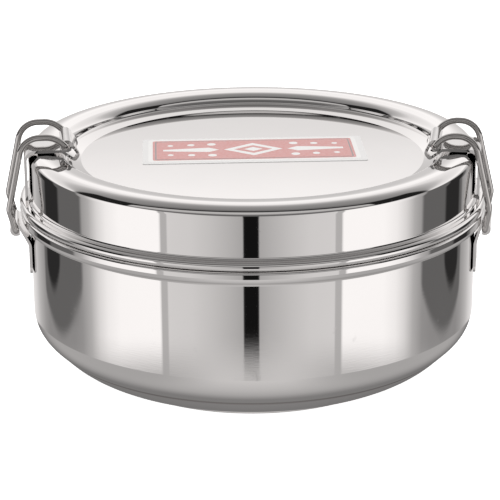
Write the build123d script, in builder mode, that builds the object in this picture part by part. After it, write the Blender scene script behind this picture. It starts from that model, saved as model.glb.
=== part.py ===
"""Single-tier stainless steel lunch box (tiffin) with two wire-and-plate side clips.

Units are millimetres. +Z is up, the origin is the centre of the foot's resting plane.
The bowl and the lid are turned about Z. Each clip is drawn in a radial plane, whose
first direction points outward and whose second direction is up, and the third direction
runs along the clip's hinge pins. The two clips are alike, but bent and set by hand, so
their pins and bends differ a little.
"""

import math
import os
from dataclasses import dataclass

from build123d import *

os.makedirs("parts", exist_ok=True)

# ---------------------------------------------------------------- driving dimensions
SHEET = 0.8                 # steel sheet of bowl and lid
WALL_R = 75.0               # outer radius of both walls
BEAD_OUT = 3.25             # how far the beads stand out from the wall
BEAD_R = WALL_R + BEAD_OUT
INNER_R = WALL_R - SHEET

# bowl
FOOT_R = 52.5               # outer radius of the pressed foot
FOOT_H = 2.4                # height of the foot band
FOOT_FLAT_R = 47.0          # inner radius of the flat that the bowl rests on
BASE_LIFT = 1.0             # how far the middle of the base is raised
FOOT_GROOVE = 0.9           # groove between the foot band and the shoulder
FOOT_WALL_IN = 1.3          # radial thickness of the foot band
BASE_STEP = (1.2, 0.9)      # run of the step up to the raised middle, below and above
FLAT_INSET = 0.3            # the step's foot on the inner face, outside FOOT_FLAT_R
PRESS_R = 69.4              # fine line pressed round the shoulder's straight
PRESS_HALF = 0.5            # half its run in radius and in height
PRESS_DEPTH = 0.3
EDGE_R = 0.3                # rounding of sheared sheet edges
CREASE_R = 0.5              # rounding of pressed creases
SHOULDER_Z = 16.45          # where the wall's line and the shoulder's straight would meet
SHOULDER_TURN = 45.0        # slope of that straight, degrees from the wall
SHOULDER_R1 = 11.0          # rounding between wall and straight
SHOULDER_R2 = 22.4          # rounding between straight and foot
BOWL_BEAD = (52.7, 57.4)    # underside and top of the bowl's bead
BOWL_BEAD_R = (2.6, 0.9)    # roundings of its nose, lower and upper
NECK_GAP = 0.3              # radial gap between neck and lid
NECK_H = 4.3                # neck above the bowl's bead

# lid
LID_BEAD = (57.5, 60.35)    # underside and top of the lid's rolled bead
LID_BEAD_R = 1.3            # rounding of its nose
BEAD_ROOT_R = 1.0           # hollow rounding between a bead and the wall
PANEL_Z = 72.0              # top face of the sunk panel
PANEL_R = 57.4              # edge of the panel
LEDGE = (62.4, 73.15)       # outer end of the ledge that rises round the panel
RIM_IN = (63.1, 76.6)       # the rim's inner wall meets its crown
RIM_HIGH = (69.5, 77.22)    # the crown's two slopes meet
RIM_OUT_Z = 76.85           # the crown's line at the outer wall
RIM_CROWN_R = 25.0          # rounding of the crown
RIM_IN_R = 3.2              # rounding between the inner wall and the crown
LEDGE_R = 0.8               # hollow rounding at the foot of the inner wall
LID_CORNER = 3.4            # rounding between the crown and the outer wall

# label on the panel
LABEL_SIZE = (75.0, 29.8)
LABEL_T = 0.15
LABEL_CENTRE = (0.4, 5.2)
LABEL_TURN = 2.7            # degrees, stuck on slightly askew

# clips, in the radial plane: (distance from the axis, height)
WIRE_R = 1.05
ARM_Y = 9.9                 # wire arms, each side of the radial plane
WIRE_BEND = 1.4             # bend of the wire into its cross bars
ARM_BENDS = (4.0, 6.6, 7.5)  # bends at the knee, the crown and the nape
PIN_CLEAR = 0.05            # radial clearance of the wire in both barrels
PLATE_T = 0.9               # lever and bracket sheet
PLATE_Y = 8.3               # half width of lever and bracket
LEVER_X = 75.9              # handle, outside the lid's skirt
LEVER_TOP = 78.0            # strap, above the lid's rim
LEVER_END = 61.6            # lower end of the handle, clear of the lid's bead as it swings
HOOK_IN = (63.9, 78.0)      # strap turns down behind the rim
HOOK_LOW = (59.7, 74.9)     # lowest turn of the hook
HOOK_BACK = (58.3, 76.7)    # hook turns back up to the barrel
LEVER_BENDS = (3.2, 1.8, 0.6, 1.2)
WINDOW_Y = 6.0              # half width of the window in the hook
WINDOW_SIZE = (5.0, 4.4)    # its cutter in the radial plane
WINDOW_RISE = 1.2           # cutter's centre above the hook's lowest turn
TAIL_Z = (35.6, 46.0)       # flat tail of the bracket on the wall
TAIL_BEND = 4.0
TAIL_CORNER = 2.5
ROLL_TURN = 285             # degrees that the strip's end wraps round a pin
WELD_R = 1.5                # spot welds in the tail
WELD_DEPTH = 0.25
WELD_Y = 4.2
WELD_RISE = 4.5             # welds above the tail's lower end

BARREL_LINE_R = WIRE_R + PIN_CLEAR + PLATE_T / 2


@dataclass
class Clip:
    """Where one clip sits and how its wire is bent."""

    side: str
    azimuth: float          # degrees from +X, a little towards the front
    pin_low: tuple          # lower pin, in the bracket
    pin_high: tuple         # upper pin, in the lever
    knee: tuple
    crown: tuple
    nape: tuple


CLIPS = (
    Clip("left", 187.0, (79.9, 51.5), (62.2, 79.7), (81.9, 59.2), (76.6, 83.3), (66.2, 83.3)),
    Clip("right", -8.0, (78.5, 51.3), (61.2, 79.3), (79.8, 59.2), (74.2, 83.3), (64.4, 83.3)),
)


def radial_plane(azimuth):
    """Plane through Z: x points outward at azimuth, y up, z along the clip's pins."""
    a = math.radians(azimuth)
    return Plane(origin=(0, 0, 0), x_dir=(math.cos(a), math.sin(a), 0), z_dir=(math.sin(a), -math.cos(a), 0))


def save(part, name):
    part.label = name
    export_step(part, f"parts/{name}.step")


def turned(outline):
    """Solid turned about Z from a closed outline of (radius, height, rounding)."""
    with BuildPart() as body:
        with BuildSketch(Plane.XZ):
            with BuildLine():
                FilletPolyline(*[(x, z) for x, z, _ in outline], radius=[r for _, _, r in outline], close=True)
            make_face()
        revolve(axis=Axis.Z)
    return body.part


def tangent_point(start, centre, radius):
    """Point where a line from start touches the circle on its inboard side."""
    dx = centre[0] - start[0]
    dz = centre[1] - start[1]
    reach = math.hypot(dx, dz)
    heading = math.atan2(dz, dx) + math.asin(radius / reach)
    length = math.sqrt(reach**2 - radius**2)
    return (start[0] + length * math.cos(heading), start[1] + length * math.sin(heading))


def angle_from(centre, point):
    return math.degrees(math.atan2(point[1] - centre[1], point[0] - centre[0]))


def moved_in(outline, depth):
    """An open outline moved square to its runs, to the right of its direction."""
    corners = [Vector(x, z) for x, z, _ in outline]
    runs = [(b - a).normalized() for a, b in zip(corners, corners[1:])]
    sides = [Vector(run.Y, -run.X) for run in runs]
    moved = []
    for i, (corner, (_, _, rounding)) in enumerate(zip(corners, outline)):
        before = sides[max(i - 1, 0)]
        after = sides[min(i, len(sides) - 1)]
        place = corner + (before + after) * (depth / (1 + before.dot(after)))
        turn = before.cross(after).Z
        if rounding:
            rounding = max(rounding + math.copysign(depth, turn), 0.1)
        moved.append((place.X, place.Y, rounding))
    return moved


# ---------------------------------------------------------------- bowl
# The wall bends into the base through a sloping straight between two roundings.
slope = math.radians(SHOULDER_TURN)
straight_run = (SHOULDER_Z - FOOT_H) * math.tan(slope)
upper_shift = SHEET * math.tan(slope / 2)
lower_shift = SHEET * math.tan(math.radians(90) / 2 - slope / 2)
neck_r = INNER_R - NECK_GAP
bead_low, bead_top = BOWL_BEAD
nose_low, nose_top = BOWL_BEAD_R
foot_in = FOOT_R - FOOT_WALL_IN
press_z = FOOT_H + (PRESS_R - (WALL_R - straight_run)) / math.tan(slope)
press_in = PRESS_DEPTH * math.sin(slope)
base_inner_z = FOOT_H + SHEET

with BuildPart() as bowl:
    add(turned([
        (0, BASE_LIFT, 0),
        (FOOT_FLAT_R - BASE_STEP[0], BASE_LIFT, CREASE_R),
        (FOOT_FLAT_R, 0, CREASE_R),
        (FOOT_R, 0, 0.6),
        (FOOT_R, FOOT_H - FOOT_GROOVE / 2, 0.2),
        (FOOT_R - FOOT_GROOVE, FOOT_H, 0),
        (WALL_R - straight_run, FOOT_H, SHOULDER_R2),
        (PRESS_R - PRESS_HALF, press_z - PRESS_HALF, 0.2),
        (PRESS_R - press_in, press_z + press_in, 0.12),
        (PRESS_R + PRESS_HALF, press_z + PRESS_HALF, 0.2),
        (WALL_R, SHOULDER_Z, SHOULDER_R1),
        (WALL_R, bead_low, BEAD_ROOT_R - 0.3),
        (BEAD_R, bead_low, nose_low),
        (BEAD_R, bead_top, nose_top),
        (neck_r, bead_top, EDGE_R),
        (neck_r, bead_top + NECK_H, EDGE_R),
        (neck_r - SHEET, bead_top + NECK_H, EDGE_R),
        (neck_r - SHEET, bead_top - SHEET, 0.4),
        (BEAD_R - SHEET, bead_top - SHEET, EDGE_R),
        (BEAD_R - SHEET, bead_low + SHEET, nose_low - SHEET),
        (INNER_R, bead_low + SHEET, 0.4),
        (INNER_R, SHOULDER_Z + upper_shift, SHOULDER_R1 - SHEET),
        (WALL_R - straight_run - lower_shift, base_inner_z, SHOULDER_R2 - SHEET),
        (foot_in, base_inner_z, 0.6),
        (foot_in, SHEET, EDGE_R),
        (FOOT_FLAT_R + FLAT_INSET, SHEET, CREASE_R),
        (FOOT_FLAT_R - BASE_STEP[1], BASE_LIFT + SHEET, CREASE_R),
        (0, BASE_LIFT + SHEET, 0),
    ]))
save(bowl.part, "bowl")

# ---------------------------------------------------------------- lid
lid_top = [
    (0, PANEL_Z, 0),
    (PANEL_R, PANEL_Z, 1.0),
    (*LEDGE, LEDGE_R),
    (*RIM_IN, RIM_IN_R),
    (*RIM_HIGH, RIM_CROWN_R),
    (WALL_R, RIM_OUT_Z, LID_CORNER),
]
bead_low, bead_top = LID_BEAD

with BuildPart() as lid:
    add(turned([
        *lid_top,
        (WALL_R, bead_top, BEAD_ROOT_R),
        (BEAD_R, bead_top, LID_BEAD_R),
        (BEAD_R, bead_low, LID_BEAD_R),
        (INNER_R, bead_low, 0.4),
        *reversed(moved_in([*lid_top, (WALL_R, bead_top, 0)], SHEET)[:-1]),
    ]))
save(lid.part, "lid")

# ---------------------------------------------------------------- label
with BuildPart() as label:
    with BuildSketch(Plane(origin=(*LABEL_CENTRE, PANEL_Z)).rotated((0, 0, LABEL_TURN))):
        RectangleRounded(*LABEL_SIZE, 1.0)
    extrude(amount=LABEL_T)
save(label.part, "label")


# ---------------------------------------------------------------- clips
def make_bracket(clip, plane):
    """Spot-welded tail on the bowl's wall, bent out and rolled round the lower pin."""
    tail_x = WALL_R + PLATE_T / 2
    tail_top = (tail_x, TAIL_Z[1])
    end = tangent_point(tail_top, clip.pin_low, BARREL_LINE_R)
    roll_start = angle_from(clip.pin_low, end)
    with BuildPart() as bracket:
        with BuildSketch(plane):
            with BuildLine():
                FilletPolyline((tail_x, TAIL_Z[0]), tail_top, end, radius=[TAIL_BEND])
            trace(line_width=PLATE_T)
            with BuildLine():
                CenterArc(clip.pin_low, BARREL_LINE_R, roll_start, -ROLL_TURN)
            trace(line_width=PLATE_T)
        extrude(amount=PLATE_Y, both=True)
        tail_face = Plane(
            origin=plane.from_local_coords((WALL_R + PLATE_T, TAIL_Z[0] + WELD_RISE, 0)),
            x_dir=plane.z_dir,
            z_dir=plane.x_dir,
        )
        with BuildSketch(tail_face):
            with GridLocations(2 * WELD_Y, 1, 2, 1):
                Circle(WELD_R)
        extrude(amount=-WELD_DEPTH, mode=Mode.SUBTRACT)
        across_plate = bracket.edges().filter_by(Axis((0, 0, 0), plane.x_dir))
        fillet(across_plate.group_by(Axis.Z)[0], TAIL_CORNER)
    save(bracket.part, f"{clip.side}_bracket")


def make_wire_link(clip, plane):
    """Closed wire loop: two bent arms between the lower and the upper cross bar."""
    with BuildPart() as link:
        with BuildLine(plane) as half:
            FilletPolyline(
                (*clip.pin_low, 0),
                (*clip.pin_low, ARM_Y),
                (*clip.knee, ARM_Y),
                (*clip.crown, ARM_Y),
                (*clip.nape, ARM_Y),
                (*clip.pin_high, ARM_Y),
                (*clip.pin_high, 0),
                radius=[WIRE_BEND, *ARM_BENDS, WIRE_BEND],
            )
        route = half.wires()[0]
        with BuildSketch(Plane(origin=route @ 0, z_dir=route % 0)):
            Circle(WIRE_R)
        sweep(path=route)
        mirror(about=plane)
    save(link.part, f"{clip.side}_wire_link")


def make_lever(clip, plane):
    """Handle, strap over the rim, hook behind it, and a barrel rolled round the upper pin."""
    end = tangent_point(HOOK_BACK, clip.pin_high, BARREL_LINE_R)
    roll_start = angle_from(clip.pin_high, end)
    with BuildPart() as lever:
        with BuildSketch(plane):
            with BuildLine():
                FilletPolyline(
                    (LEVER_X, LEVER_END),
                    (LEVER_X, LEVER_TOP),
                    HOOK_IN,
                    HOOK_LOW,
                    HOOK_BACK,
                    end,
                    radius=LEVER_BENDS,
                )
            trace(line_width=PLATE_T)
            with BuildLine():
                CenterArc(clip.pin_high, BARREL_LINE_R, roll_start, -ROLL_TURN)
            trace(line_width=PLATE_T)
        extrude(amount=PLATE_Y, both=True)
        with BuildSketch(plane):
            with Locations(((HOOK_BACK[0] + HOOK_LOW[0]) / 2, HOOK_LOW[1] + WINDOW_RISE)):
                Rectangle(*WINDOW_SIZE)
        extrude(amount=WINDOW_Y, both=True, mode=Mode.SUBTRACT)
    save(lever.part, f"{clip.side}_lever")


for clip in CLIPS:
    clip_plane = radial_plane(clip.azimuth)
    make_bracket(clip, clip_plane)
    make_wire_link(clip, clip_plane)
    make_lever(clip, clip_plane)
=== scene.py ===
"""Looks of the steel lunch box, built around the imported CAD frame.

Metres, +Z up, +X through the two clips, and the camera stands on the -Y side.
"""

import math

import bpy
from mathutils import Matrix, Vector


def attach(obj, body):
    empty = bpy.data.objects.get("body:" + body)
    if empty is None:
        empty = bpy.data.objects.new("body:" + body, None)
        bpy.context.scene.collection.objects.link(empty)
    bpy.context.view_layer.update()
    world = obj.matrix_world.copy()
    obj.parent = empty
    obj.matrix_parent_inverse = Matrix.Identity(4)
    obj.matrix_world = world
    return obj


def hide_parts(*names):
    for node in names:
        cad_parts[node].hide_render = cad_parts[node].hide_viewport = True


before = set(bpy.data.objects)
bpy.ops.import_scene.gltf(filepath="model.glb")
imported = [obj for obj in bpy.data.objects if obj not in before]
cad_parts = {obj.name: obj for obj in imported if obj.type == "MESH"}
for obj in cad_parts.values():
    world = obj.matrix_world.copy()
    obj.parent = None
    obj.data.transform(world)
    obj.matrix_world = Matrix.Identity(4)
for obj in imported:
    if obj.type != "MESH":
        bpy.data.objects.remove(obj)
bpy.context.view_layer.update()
MM = 0.001


# ---------------------------------------------------------------- node helpers
class Tree:
    """Short spellings for the nodes of one material or world."""

    def __init__(self, owner):
        owner.use_nodes = True
        self.tree = owner.node_tree
        self.tree.nodes.clear()

    def node(self, kind, **inputs):
        """A new node. Inputs are named by label, or by _0, _1 ... for their place."""
        made = self.tree.nodes.new(kind)
        for key, value in inputs.items():
            if key.startswith("_"):
                socket = made.inputs[int(key[1:])]
            else:
                socket = made.inputs[key.replace("_", " ")]
            if isinstance(value, bpy.types.NodeSocket):
                self.tree.links.new(value, socket)
            else:
                socket.default_value = value
        return made

    def math(self, operation, a, b=0.0):
        made = self.node("ShaderNodeMath", _0=a, _1=b)
        made.operation = operation
        return made.outputs[0]

    def fade(self, value, low, high):
        """0 below low, 1 above high, smooth between. With low above high it falls instead."""
        made = self.node("ShaderNodeMapRange", _0=value, _1=low, _2=high)
        made.interpolation_type = "SMOOTHSTEP"
        return made.outputs[0]

    def mix(self, factor, a, b):
        made = self.tree.nodes.new("ShaderNodeMix")
        made.data_type = "RGBA"
        for socket, value in ((made.inputs[0], factor), (made.inputs[6], a), (made.inputs[7], b)):
            if isinstance(value, bpy.types.NodeSocket):
                self.tree.links.new(value, socket)
            else:
                socket.default_value = value
        return made.outputs[2]

    def profile(self, value, low, high, stops):
        """Grey read from (place, brightness) stops along value."""
        share = self.node("ShaderNodeMapRange", _0=value, _1=low, _2=high)
        ramp = self.node("ShaderNodeValToRGB", _0=share.outputs[0])
        elements = ramp.color_ramp.elements
        while len(elements) < len(stops):
            elements.new(0.5)
        for element, (place, grey) in zip(elements, stops):
            element.position = (place - low) / (high - low)
            element.color = (grey, grey, grey, 1)
        return ramp.outputs[0]


# ---------------------------------------------------------------- studio
FLOOR_RADIUS = 8.0
STUDIO_WARMTH = (1.0, 0.972, 0.962, 1)
STUDIO_GAIN = 1.17          # steel takes about this share away
FLOOR_GLOW = 0.80           # keeps the sweep white, with only a faint shade under the box

# What stands round the box, by degrees away from the camera's direction: the slot that the camera looks
# through, two grey side cards with a gap beyond, white cards, the dark corners and the back wall.
CARDS = [
    (0, 0.006), (3.5, 0.006), (4.1, 0.38), (10, 0.44), (20, 0.53), (30, 0.60), (42.3, 0.62), (42.8, 0.43),
    (46, 0.43), (46.6, 0.95), (70, 0.94), (78, 0.85), (84, 0.68), (90, 0.42), (97, 0.28), (104, 0.25),
    (112, 0.25), (122, 0.25), (130, 0.25), (136, 0.31), (145, 0.45), (152, 0.60), (165, 0.75), (180, 0.80),
]
# Overhead, by degrees from the back wall's foot over the top to the front.
CEILING = [
    (0, 0.45), (13, 0.60), (15.5, 0.72), (18, 0.95), (30, 0.80), (43, 0.70), (52, 0.50), (66, 0.34),
    (81, 0.26), (104, 0.22), (115, 0.16), (122, 0.10), (126, 0.008), (131, 0.008), (135, 0.30), (140, 0.50),
    (148, 0.45), (154, 0.42), (161, 0.15), (174, 0.10), (180, 0.15),
]
# The table top, by degrees from the front horizon down and under the box to the back.
TABLE = [
    (0, 0.58), (22, 0.56), (38, 0.52), (50, 0.49), (63, 0.45), (83, 0.37), (99, 0.27), (113, 0.20),
    (135, 0.17), (160, 0.15), (180, 0.30),
]
TABLE_SIDES = (0.20, 0.75)  # it brightens towards both sides, by the sideways part of the direction
TABLE_SIDE_GREY = 0.37
CARDS_END = (-22.9, -21.3)  # the cards fade into the table between these elevations
CARDS_TOP = (1.0, 7.0)
SIDE_FLAGS = (62, 100)      # dark flags at both sides, by degrees away from the camera's direction
FLAG_EDGES = (2, 6)         # degrees over which a flag fades in at its front and out at its back
FLAG_BOTTOM = (-4.0, -2.0)
FLAG_TOP = (40.0, 34.0)
FLAG_GREY = 0.012
TENT_TURN = 0.9             # degrees by which the whole tent is turned about Z
# Round-bottomed dark shapes that hang in the dark corners:
# (middle azimuth, half width, elevation of the bottom, how fast it rises to the sides, brightness).
HUNG = [(115.0, 19.0, -21.3, 0.0035, 0.115), (123.0, 7.5, -20.0, 0.012, 0.022)]
HUNG_SOFT_BELOW = 0.15      # degrees over which their edges fade
HUNG_SOFT_ABOVE = 0.35
HUNG_SOFT_SIDE = 1.5


def grey_of(value):
    return (value, value, value, 1)


def make_world():
    """White to the camera and to matt surfaces, and a light tent of cards in what polished steel reflects."""
    world = bpy.data.worlds.new("studio")
    bpy.context.scene.world = world
    t = Tree(world)
    place = t.node("ShaderNodeSeparateXYZ", _0=t.node("ShaderNodeTexCoord").outputs["Generated"])
    x, y, z = place.outputs
    degrees = 180 / math.pi
    front = t.math("MULTIPLY", y, -1.0)
    azimuth = t.math("MULTIPLY", t.math("ARCTAN2", x, front), degrees)
    azimuth = t.math("ABSOLUTE", t.math("ADD", azimuth, TENT_TURN))
    elevation = t.math("MULTIPLY", t.math("ARCSINE", z), degrees)
    under = t.math("MULTIPLY", t.math("ARCTAN2", t.math("MULTIPLY", z, -1.0), front), degrees)
    over = t.math("MULTIPLY", t.math("ARCTAN2", z, y), degrees)
    cards = t.profile(azimuth, 0, 180, CARDS)
    table = t.profile(under, 0, 180, TABLE)
    to_side = t.fade(t.math("ABSOLUTE", x), *TABLE_SIDES)
    table = t.mix(to_side, table, grey_of(TABLE_SIDE_GREY))
    ceiling = t.profile(over, 0, 180, CEILING)
    for middle, half, bottom, rise, grey in HUNG:
        off = t.math("SUBTRACT", azimuth, middle)
        edge = t.math("MULTIPLY", t.math("MULTIPLY", off, off), rise)
        above = t.math("SUBTRACT", elevation, edge)
        inside = t.fade(above, bottom - HUNG_SOFT_BELOW, bottom + HUNG_SOFT_ABOVE)
        beside = t.fade(t.math("ABSOLUTE", off), half + HUNG_SOFT_SIDE, half - HUNG_SOFT_SIDE)
        cards = t.mix(t.math("MULTIPLY", inside, beside), cards, grey_of(grey))
    below = t.mix(t.fade(elevation, *CARDS_END), table, cards)
    flag_front = t.fade(azimuth, SIDE_FLAGS[0], SIDE_FLAGS[0] + FLAG_EDGES[0])
    flag = t.math("MULTIPLY", flag_front, t.fade(azimuth, SIDE_FLAGS[1], SIDE_FLAGS[1] - FLAG_EDGES[1]))
    flag = t.math("MULTIPLY", flag, t.fade(elevation, *FLAG_TOP))
    flag = t.math("MULTIPLY", flag, t.fade(elevation, *FLAG_BOTTOM))
    ceiling = t.mix(flag, ceiling, grey_of(FLAG_GREY))
    tent = t.mix(t.fade(elevation, *CARDS_TOP), below, ceiling)
    toned = t.node("ShaderNodeMix")
    toned.data_type = "RGBA"
    toned.blend_type = "MULTIPLY"
    toned.inputs[0].default_value = 1.0
    t.tree.links.new(tent, toned.inputs[6])
    toned.inputs[7].default_value = STUDIO_WARMTH
    seen = t.node("ShaderNodeBackground", Color=toned.outputs[2], Strength=STUDIO_GAIN)
    plain = t.node("ShaderNodeBackground", Color=(1, 1, 1, 1), Strength=1.0)
    path = t.node("ShaderNodeLightPath")
    glossy = path.outputs["Is Glossy Ray"]
    both = t.node("ShaderNodeMixShader", _0=glossy, _1=plain.outputs[0], _2=seen.outputs[0])
    out = t.tree.nodes.new("ShaderNodeOutputWorld")
    t.tree.links.new(both.outputs[0], out.inputs[0])


def make_floor():
    """Plain white sweep. The steel reflects the studio's cards and table top instead of it."""
    mesh = bpy.data.meshes.new("floor")
    corners = [(sx * FLOOR_RADIUS, sy * FLOOR_RADIUS, 0) for sx, sy in ((-1, -1), (1, -1), (1, 1), (-1, 1))]
    mesh.from_pydata(corners, [], [(0, 1, 2, 3)])
    floor = bpy.data.objects.new("floor", mesh)
    bpy.context.scene.collection.objects.link(floor)
    floor.visible_glossy = False
    material = bpy.data.materials.new("floor")
    t = Tree(material)
    shader = t.node("ShaderNodeBsdfPrincipled", Base_Color=(0.95, 0.95, 0.95, 1), Roughness=0.9)
    shader.inputs["Emission Color"].default_value = (1, 1, 1, 1)
    shader.inputs["Emission Strength"].default_value = FLOOR_GLOW
    out = t.tree.nodes.new("ShaderNodeOutputMaterial")
    t.tree.links.new(shader.outputs[0], out.inputs[0])
    mesh.materials.append(material)


# The camera looks down at the box from the front, turned a little about its own axis.
CAMERA_DISTANCE = 0.675
CAMERA_ELEVATION = 17.82
CAMERA_ROLL = 0.35
CAMERA_LENS = 143.2
LOOK_AT_Z = 0.0517
AIM_DOWN = 1.0975           # degrees by which the camera aims below that height
AIM_LEFT = 0.0893


def make_camera():
    data = bpy.data.cameras.new("camera")
    data.lens = CAMERA_LENS
    data.sensor_width = 36.0
    camera = bpy.data.objects.new("camera", data)
    bpy.context.scene.collection.objects.link(camera)
    bpy.context.scene.camera = camera
    tilt = math.radians(CAMERA_ELEVATION)
    camera.location = (
        0,
        -CAMERA_DISTANCE * math.cos(tilt),
        LOOK_AT_Z + CAMERA_DISTANCE * math.sin(tilt),
    )
    aim = Matrix.Rotation(math.radians(AIM_LEFT), 4, "Z")
    aim = aim @ Matrix.Rotation(math.radians(90 - CAMERA_ELEVATION - AIM_DOWN), 4, "X")
    aim = aim @ Matrix.Rotation(math.radians(-CAMERA_ROLL), 4, "Z")
    camera.rotation_euler = aim.to_euler()


# ---------------------------------------------------------------- materials
def finish_material(t, shader):
    out = t.tree.nodes.new("ShaderNodeOutputMaterial")
    t.tree.links.new(shader.outputs[0], out.inputs[0])


def place_on(t):
    return t.node("ShaderNodeTexCoord").outputs["Object"]


PRESS_SHADE_REACH = (0.0007, 0.0003)    # metres from the pressed line, where its painted shade starts and is full


def make_spun_steel(name, colour, roughness):
    """Mirror-polished turned steel: buffing lines round the axis, soft wipe marks, a pressed line darkened
    with painted shade.
    """
    material = bpy.data.materials.new(name)
    t = Tree(material)
    spot = place_on(t)
    x, y, z = t.node("ShaderNodeSeparateXYZ", _0=spot).outputs
    radius = t.math("SQRT", t.math("ADD", t.math("MULTIPLY", x, x), t.math("MULTIPLY", y, y)))
    turn = t.math("MULTIPLY", t.math("ARCTAN2", x, y), 0.006)
    round_axis = t.node("ShaderNodeCombineXYZ", _0=radius, _1=turn, _2=z).outputs[0]
    lines = t.node("ShaderNodeTexNoise", Vector=round_axis, Scale=2600.0, Detail=3.0).outputs[0]
    wipes = t.node("ShaderNodeTexNoise", Vector=spot, Scale=38.0, Detail=3.0, Distortion=0.6).outputs[0]
    scuffs = t.node("ShaderNodeTexNoise", Vector=spot, Scale=420.0, Detail=5.0).outputs[0]
    dull = t.math("MULTIPLY", t.fade(wipes, 0.50, 0.72), 0.05)
    dull = t.math("ADD", dull, t.math("MULTIPLY", t.fade(scuffs, 0.62, 0.74), 0.05))
    dull = t.math("ADD", dull, roughness)
    shade = t.math("ADD", 0.975, t.math("MULTIPLY", wipes, 0.05))
    tone = t.node("ShaderNodeMix")
    tone.data_type = "RGBA"
    tone.blend_type = "MULTIPLY"
    tone.inputs[0].default_value = 1.0
    tone.inputs[6].default_value = (*colour, 1)
    t.tree.links.new(shade, tone.inputs[7])
    bump = t.node("ShaderNodeBump", Strength=0.004, Distance=0.0002, Height=lines)
    # Painted shade: the colour darkens along the pressed line, and the steel is made a little rougher there.
    from_line = t.math("ABSOLUTE", t.math("SUBTRACT", z, PRESS_LINE[1] * MM))
    press_shade = t.fade(from_line, *PRESS_SHADE_REACH)
    dull = t.math("ADD", dull, t.math("MULTIPLY", press_shade, 0.15))
    colour = t.mix(press_shade, tone.outputs[2], (0.30, 0.285, 0.28, 1))
    shader = t.node("ShaderNodeBsdfPrincipled", Base_Color=colour, Metallic=1.0, Roughness=dull)
    t.tree.links.new(bump.outputs[0], shader.inputs["Normal"])
    finish_material(t, shader)
    return material


def make_clip_steel(name, colour, roughness, grain, strength):
    """Bright drawn or rolled steel: fine grain, with darker marks where it is handled."""
    material = bpy.data.materials.new(name)
    t = Tree(material)
    spot = place_on(t)
    marks = t.node("ShaderNodeTexNoise", Vector=spot, Scale=160.0, Detail=4.0).outputs[0]
    fine = t.node("ShaderNodeTexNoise", Vector=spot, Scale=grain, Detail=2.0).outputs[0]
    dull = t.math("ADD", roughness, t.math("MULTIPLY", t.fade(marks, 0.45, 0.75), 0.04))
    tone = t.mix(t.fade(marks, 0.40, 0.80), (*colour, 1), (*[0.93 * c for c in colour], 1))
    bump = t.node("ShaderNodeBump", Strength=strength, Distance=0.0002, Height=fine)
    shader = t.node("ShaderNodeBsdfPrincipled", Base_Color=tone, Metallic=1.0, Roughness=dull)
    t.tree.links.new(bump.outputs[0], shader.inputs["Normal"])
    finish_material(t, shader)
    return material


def make_print(name, colour, coat, speckle=0.0):
    """Printed film: ink that varies a little in density, under a clear gloss."""
    material = bpy.data.materials.new(name)
    t = Tree(material)
    spot = place_on(t)
    density = t.node("ShaderNodeTexNoise", Vector=spot, Scale=900.0, Detail=4.0).outputs[0]
    pale = [c + (1 - c) * speckle for c in colour]
    ink = t.mix(t.fade(density, 0.40, 0.62), (*colour, 1), (*pale, 1))
    ripple = t.node("ShaderNodeTexNoise", Vector=spot, Scale=70.0, Detail=2.0).outputs[0]
    bump = t.node("ShaderNodeBump", Strength=0.05, Distance=0.0003, Height=ripple)
    shader = t.node("ShaderNodeBsdfPrincipled", Base_Color=ink, Roughness=0.32)
    shader.inputs["Coat Weight"].default_value = coat
    shader.inputs["Coat Roughness"].default_value = 0.08
    t.tree.links.new(bump.outputs[0], shader.inputs["Normal"])
    finish_material(t, shader)
    return material


def wear(node, material):
    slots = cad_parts[node].data.materials
    slots.clear()
    slots.append(material)


# ---------------------------------------------------------------- bowl and lid, turned about Z
SEGMENTS = 256
ARC_STEP = 5.0              # degrees between rings on a rounding

SHEET = 0.8
WALL_R = 75.0
BEAD_R = 78.25
FOOT_R = 52.5
FOOT_H = 2.4
FOOT_IN_R = 47.0
BASE_LIFT = 1.0
SHOULDER_Z = 16.45          # the wall's line meets the shoulder's 45 degree straight here
SHOULDER_IN = WALL_R - (SHOULDER_Z - FOOT_H)
PRESS_LINE = (69.4, 10.85)  # fine pressed line round the shoulder
PRESS_DEPTH = 0.3
PRESS_HALF = 0.5            # half its run in radius and in height
PRESS_IN = PRESS_DEPTH * 0.71
SHEET_SHIFT = 0.3314        # by which the inner shoulder's corners move along, one sheet in
NECK_R = 73.9
NECK_TOP = 61.7
PANEL_Z = 72.0


def rounded(outline):
    """Points (r, z, nr, nz) along an outline of (r, z, rounding), with true normals on its right side."""
    rings = []
    corners = [Vector((r, z)) for r, z, _ in outline]
    for i, (_, _, rounding) in enumerate(outline):
        here = corners[i]
        before = (here - corners[i - 1]).normalized() if i else None
        after = (corners[i + 1] - here).normalized() if i + 1 < len(outline) else None
        if before is None or after is None:
            run = after or before
            rings.append((here.x, here.y, run.y, -run.x))
            continue
        turn = before.angle_signed(after)
        side = 1 if turn < 0 else -1
        reach = rounding * math.tan(abs(turn) / 2)
        start = here - before * reach
        centre = start - Vector((before.y, -before.x)) * rounding * side
        steps = max(2, math.ceil(math.degrees(abs(turn)) / ARC_STEP))
        first = math.atan2(-before.x, before.y)
        for k in range(steps + 1):
            angle = first + (-turn) * k / steps
            normal = Vector((math.cos(angle), math.sin(angle)))
            point = centre + normal * rounding * side
            rings.append((point.x, point.y, normal.x, normal.y))
    return rings


def moved_in(outline, depth):
    """An open outline of (r, z, rounding) moved square to its runs, to the right of its direction."""
    corners = [Vector((r, z)) for r, z, _ in outline]
    runs = [(b - a).normalized() for a, b in zip(corners, corners[1:])]
    moved = []
    for i, corner in enumerate(corners):
        before = runs[max(i - 1, 0)]
        after = runs[min(i, len(runs) - 1)]
        sides = Vector((before.y + after.y, -before.x - after.x))
        place = corner + sides * depth / (1 + before.dot(after))
        turn = before.x * after.y - before.y * after.x
        rounding = outline[i][2]
        if rounding:
            rounding = max(rounding + math.copysign(depth, turn), 0.1)
        moved.append((place.x, place.y, rounding))
    return moved


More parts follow.
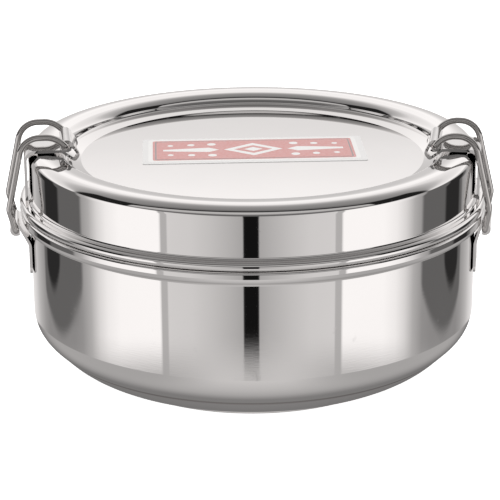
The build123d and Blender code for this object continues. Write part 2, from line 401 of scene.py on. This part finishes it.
def turned(name, outline):
    """Mesh turned about Z from an outline that runs from the axis round to the axis, with exact normals."""
    rings = rounded(outline)
    verts = []
    normals = []
    for r, z, nr, nz in rings:
        if r < 1e-6:
            verts.append((0, 0, z * MM))
            normals.append((0, 0, math.copysign(1, nz)))
            continue
        for k in range(SEGMENTS):
            a = 2 * math.pi * k / SEGMENTS
            verts.append((r * MM * math.cos(a), r * MM * math.sin(a), z * MM))
            normals.append((nr * math.cos(a), nr * math.sin(a), nz))
    faces = []
    inner = len(rings) - 2
    for i in range(inner):
        first = 1 + i * SEGMENTS
        for k in range(SEGMENTS):
            here = first + k
            beside = first + (k + 1) % SEGMENTS
            if i == 0:
                faces.append((0, beside, here))
            if i == inner - 1:
                faces.append((here, beside, len(verts) - 1))
                continue
            faces.append((here, beside, beside + SEGMENTS, here + SEGMENTS))
    mesh = bpy.data.meshes.new(name)
    mesh.from_pydata(verts, [], faces)
    mesh.shade_smooth()
    mesh.normals_split_custom_set_from_vertices(normals)
    made = bpy.data.objects.new(name, mesh)
    bpy.context.scene.collection.objects.link(made)
    return made


# Both outlines are in millimetres: (distance from the axis, height, rounding).
BOWL = [
    (0, BASE_LIFT, 0),
    (FOOT_IN_R - 1.2, BASE_LIFT, 0.5),
    (FOOT_IN_R, 0, 0.5),
    (FOOT_R, 0, 0.6),
    (FOOT_R, FOOT_H - 0.45, 0.2),
    (FOOT_R - 0.9, FOOT_H, 0.1),
    (SHOULDER_IN, FOOT_H, 22.4),
    (PRESS_LINE[0] - PRESS_HALF, PRESS_LINE[1] - PRESS_HALF, 0.2),
    (PRESS_LINE[0] - PRESS_IN, PRESS_LINE[1] + PRESS_IN, 0.12),
    (PRESS_LINE[0] + PRESS_HALF, PRESS_LINE[1] + PRESS_HALF, 0.2),
    (WALL_R, SHOULDER_Z, 11.0),
    (WALL_R, 52.7, 0.7),
    (BEAD_R, 52.7, 2.6),
    (BEAD_R, 57.4, 0.9),
    (NECK_R, 57.4, 0.3),
    (NECK_R, NECK_TOP, 0.3),
    (NECK_R - SHEET, NECK_TOP, 0.3),
    (NECK_R - SHEET, 56.6, 0.4),
    (BEAD_R - SHEET, 56.6, 0.3),
    (BEAD_R - SHEET, 53.5, 1.8),
    (WALL_R - SHEET, 53.5, 0.4),
    (WALL_R - SHEET, SHOULDER_Z + SHEET_SHIFT, 10.2),
    (SHOULDER_IN - SHEET_SHIFT, FOOT_H + SHEET, 21.6),
    (FOOT_R - 1.3, FOOT_H + SHEET, 0.6),
    (FOOT_R - 1.3, SHEET, 0.3),
    (FOOT_IN_R + 0.3, SHEET, 0.5),
    (FOOT_IN_R - 0.9, BASE_LIFT + SHEET, 0.5),
    (0, BASE_LIFT + SHEET, 0),
]
LID_TOP = [
    (0, PANEL_Z, 0),
    (57.4, PANEL_Z, 1.0),
    (62.4, 73.15, 0.8),
    (63.1, 76.6, 3.2),
    (69.5, 77.22, 25.0),
    (WALL_R, 76.85, 3.4),
]
LID = LID_TOP + [
    (WALL_R, 60.35, 1.0),
    (BEAD_R, 60.35, 1.3),
    (BEAD_R, 57.5, 1.3),
    (WALL_R - SHEET, 57.5, 0.4),
] + moved_in(LID_TOP + [(WALL_R, 60.35, 0)], SHEET)[-2::-1]


def make_vessel(node, body, outline, material):
    piece = turned(node + "_turned", outline)
    piece.data.materials.append(material)
    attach(piece, body)
    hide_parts(node)
    return piece


# ---------------------------------------------------------------- label
FILM_TOP = PANEL_Z + 0.15
LABEL_TURN = 2.7
PRINT_CENTRE = (0.3, 5.8)
PRINT_SIZE = (68.0, 23.6)
FILM_GAP = 0.004            # between the film and the first layer of ink
PRINT_T = 0.012
ORNAMENT_LAYER = 4
CORNER_STEPS = 6            # points on each rounded corner
DISC_STEPS = 20


def plate(name, outline, centre, low, high, material):
    """Thin plate with a flat outline in millimetres, turned like the label and riding on the lid."""
    turn = math.radians(LABEL_TURN)
    c, s = math.cos(turn), math.sin(turn)
    flat = [(centre[0] + x * c - y * s, centre[1] + x * s + y * c) for x, y in outline]
    count = len(flat)
    verts = [(x * MM, y * MM, z * MM) for z in (low, high) for x, y in flat]
    faces = [tuple(range(count - 1, -1, -1)), tuple(range(count, 2 * count))]
    for k in range(count):
        n = (k + 1) % count
        faces.append((k, n, n + count, k + count))
    mesh = bpy.data.meshes.new(name)
    mesh.from_pydata(verts, [], faces)
    mesh.materials.append(material)
    made = bpy.data.objects.new(name, mesh)
    bpy.context.scene.collection.objects.link(made)
    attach(made, "lid_body")
    return made


def round_box(width, height, corner):
    points = []
    for sx, sy, first in ((1, 1, 0), (-1, 1, 90), (-1, -1, 180), (1, -1, 270)):
        for k in range(CORNER_STEPS + 1):
            a = math.radians(first + 90 * k / CORNER_STEPS)
            x = sx * (width / 2 - corner) + corner * math.cos(a)
            y = sy * (height / 2 - corner) + corner * math.sin(a)
            points.append((x, y))
    return points


def lozenge(width, height):
    return [(width / 2, 0.0), (0.0, height / 2), (-width / 2, 0.0), (0.0, -height / 2)]


def disc(radius, centre):
    turns = [2 * math.pi * k / DISC_STEPS for k in range(DISC_STEPS)]
    return [(centre[0] + radius * math.cos(a), centre[1] + radius * math.sin(a)) for a in turns]


def make_label(film, red, white, grey):
    """Red printed panel with a thin border line and a plain ornament, on the clear film."""
    wear("label", film)
    width, height = PRINT_SIZE
    pieces = [("print_border", round_box(width + 3.0, height + 3.0, 1.6), white)]
    pieces.append(("print_line", round_box(width - 1.6, height - 1.6, 0.8), grey))
    pieces.append(("print_edge", round_box(width, height, 1.0), red))
    pieces.append(("print_panel", round_box(width - 2.5, height - 2.5, 0.6), red))
    pieces.append(("ornament_lozenge", lozenge(20.0, 15.0), white))
    pieces.append(("ornament_heart", lozenge(13.0, 9.4), red))
    pieces.append(("ornament_core", lozenge(6.4, 4.8), white))
    for side in (-1, 1):
        word = "left" if side < 0 else "right"
        bar = [(11.5, 0.0), (15.0, 2.6), (30.5, 0.9), (30.5, -0.9), (15.0, -2.6)]
        bar = [(side * x, y) for x, y in bar]
        if side < 0:
            bar.reverse()
        pieces.append((f"ornament_bar_{word}", bar, white))
        for k in range(3):
            x = side * (14.0 + 7.0 * k)
            for rise in (-1, 1):
                place = "front" if rise < 0 else "back"
                dot = disc(1.5 - 0.25 * k, (x, rise * (6.6 - 0.5 * k)))
                pieces.append((f"ornament_dot_{word}_{place}_{k}", dot, white))
    order = {
        "print_border": 0,
        "print_edge": 1,
        "print_line": 2,
        "print_panel": 3,
        "ornament_heart": 5,
        "ornament_core": 6,
    }
    for name, outline, material in pieces:
        bottom = FILM_TOP + FILM_GAP + order.get(name, ORNAMENT_LAYER) * PRINT_T
        plate(name, outline, PRINT_CENTRE, bottom, bottom + PRINT_T, material)


# ---------------------------------------------------------------- clips
SHEET_EDGE = 0.14           # millimetres
SHARP_ANGLE = 40            # degrees


def soften(node, segments=3):
    """Small rounded edges on a sheared or rolled piece."""
    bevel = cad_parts[node].modifiers.new("edge", "BEVEL")
    bevel.width = SHEET_EDGE * MM
    bevel.segments = segments
    bevel.limit_method = "ANGLE"
    bevel.angle_limit = math.radians(SHARP_ANGLE)
    bevel.harden_normals = True


make_world()
make_floor()
make_camera()
bpy.context.scene.view_settings.view_transform = "Standard"

turned_steel = make_spun_steel("polished_steel", (0.86, 0.85, 0.845), 0.02)
plate_steel = make_clip_steel("clip_plate", (0.84, 0.83, 0.825), 0.05, 900.0, 0.008)
# The wire's base colour is set darker than the plates' as painted shade, standing in for dark reflections
# along the wires.
wire_steel_painted_dark = make_clip_steel("clip_wire", (0.58, 0.565, 0.555), 0.05, 1500.0, 0.01)
film = make_print("clear_film", (0.80, 0.79, 0.78), 1.0)
red_ink = make_print("red_ink", (0.60, 0.12, 0.10), 1.0, 0.08)
white_ink = make_print("white_ink", (0.90, 0.89, 0.87), 1.0)
grey_ink = make_print("grey_ink", (0.12, 0.11, 0.11), 1.0)

make_vessel("bowl", "bowl_body", BOWL, turned_steel)
make_vessel("lid", "lid_body", LID, turned_steel)
make_label(film, red_ink, white_ink, grey_ink)
for side in ("left", "right"):
    wear(f"{side}_lever", plate_steel)
    wear(f"{side}_bracket", plate_steel)
    wear(f"{side}_wire_link", wire_steel_painted_dark)
    soften(f"{side}_lever")
    soften(f"{side}_bracket")
